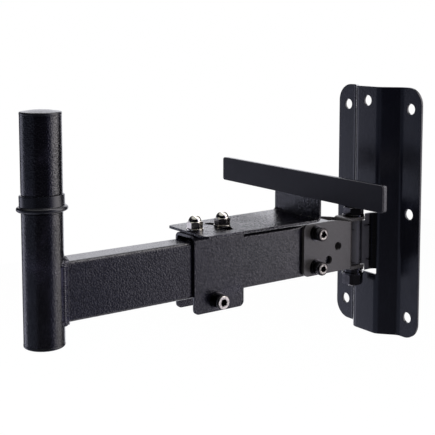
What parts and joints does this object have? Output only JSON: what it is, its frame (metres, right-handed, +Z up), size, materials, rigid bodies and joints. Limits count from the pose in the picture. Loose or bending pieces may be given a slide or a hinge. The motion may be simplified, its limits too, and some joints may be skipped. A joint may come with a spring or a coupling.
{
  "type": "speaker wall bracket",
  "caption": "Steel wall bracket for a loudspeaker: folded wall plate, vertical hinge, rectangular arm with an upright round post, and a sliding clamp that carries a swivelling padded stop bar.",
  "frame": {"origin": "centre of the wall plate's back, on the wall", "axes": "+Z up, +Y into the wall, the arm reaches out along -Y, X = 0 is the plane of symmetry"},
  "size_m": [0.243, 0.4122, 0.262],
  "materials": {
    "plate_paint": "satin black powder coat, fine grain",
    "satin_paint": "satin black powder coat, smooth",
    "hammer_paint": "hammered black powder coat, semi-gloss",
    "dark_steel": "blackened zinc",
    "bright_steel": "zinc plated, semi-bright",
    "chrome": "nickel plated, bright",
    "cap_plastic": "black moulded, fine matt",
    "pad_rubber": "black cellular rubber sheet"
  },
  "bodies": {
    "wall_side": {"wall_plate": "plate_paint", "hinge_bracket": "plate_paint", "hinge_barrel": "plate_paint"},
    "arm": {"hinge_bolt": "dark_steel", "hinge_washers": "dark_steel", "hinge_spring_washer": "dark_steel", "hinge_nut": "dark_steel", "tilt_bracket": "satin_paint", "arm_tube": "hammer_paint", "arm_weld": "hammer_paint", "post_tube": "hammer_paint", "top_cap": "cap_plastic", "bottom_cap": "cap_plastic", "collar": "cap_plastic", "tilt_screw": "bright_steel", "tilt_screw_washers": "dark_steel", "tilt_screw_spring_washer": "dark_steel", "tilt_screw_nut": "bright_steel", "lock_screw": "bright_steel", "lock_screw_washers": "dark_steel", "lock_screw_spring_washer": "dark_steel", "lock_screw_nut": "bright_steel"},
    "clamp": {"clamp_saddle": "hammer_paint", "clamp_screw": "bright_steel", "clamp_screw_washers": "dark_steel", "clamp_screw_spring_washer": "dark_steel", "clamp_screw_nut": "bright_steel", "saddle_bolts": "bright_steel", "swivel_washers": "bright_steel", "dome_nuts": "chrome"},
    "stop": {"swivel_plate": "hammer_paint", "stop_bar": "hammer_paint", "rubber_pad": "pad_rubber"}
  },
  "joints": [
    {"name": "pan", "type": "hinge", "parent": "wall_side", "child": "arm", "pos_m": [0, -0.0368, -0.0314], "axis": [0, 0, 1], "range_deg": [-45, 45]},
    {"name": "clamp_slide", "type": "slide", "parent": "arm", "child": "clamp", "axis": [0, 1, 0], "range_m": [-0.11, 0.005]},
    {"name": "stop_swivel", "type": "hinge", "parent": "clamp", "child": "stop", "pos_m": [0, -0.2378, 0.0033], "axis": [0, 0, 1], "range_deg": [-29, 29]}
  ]
}
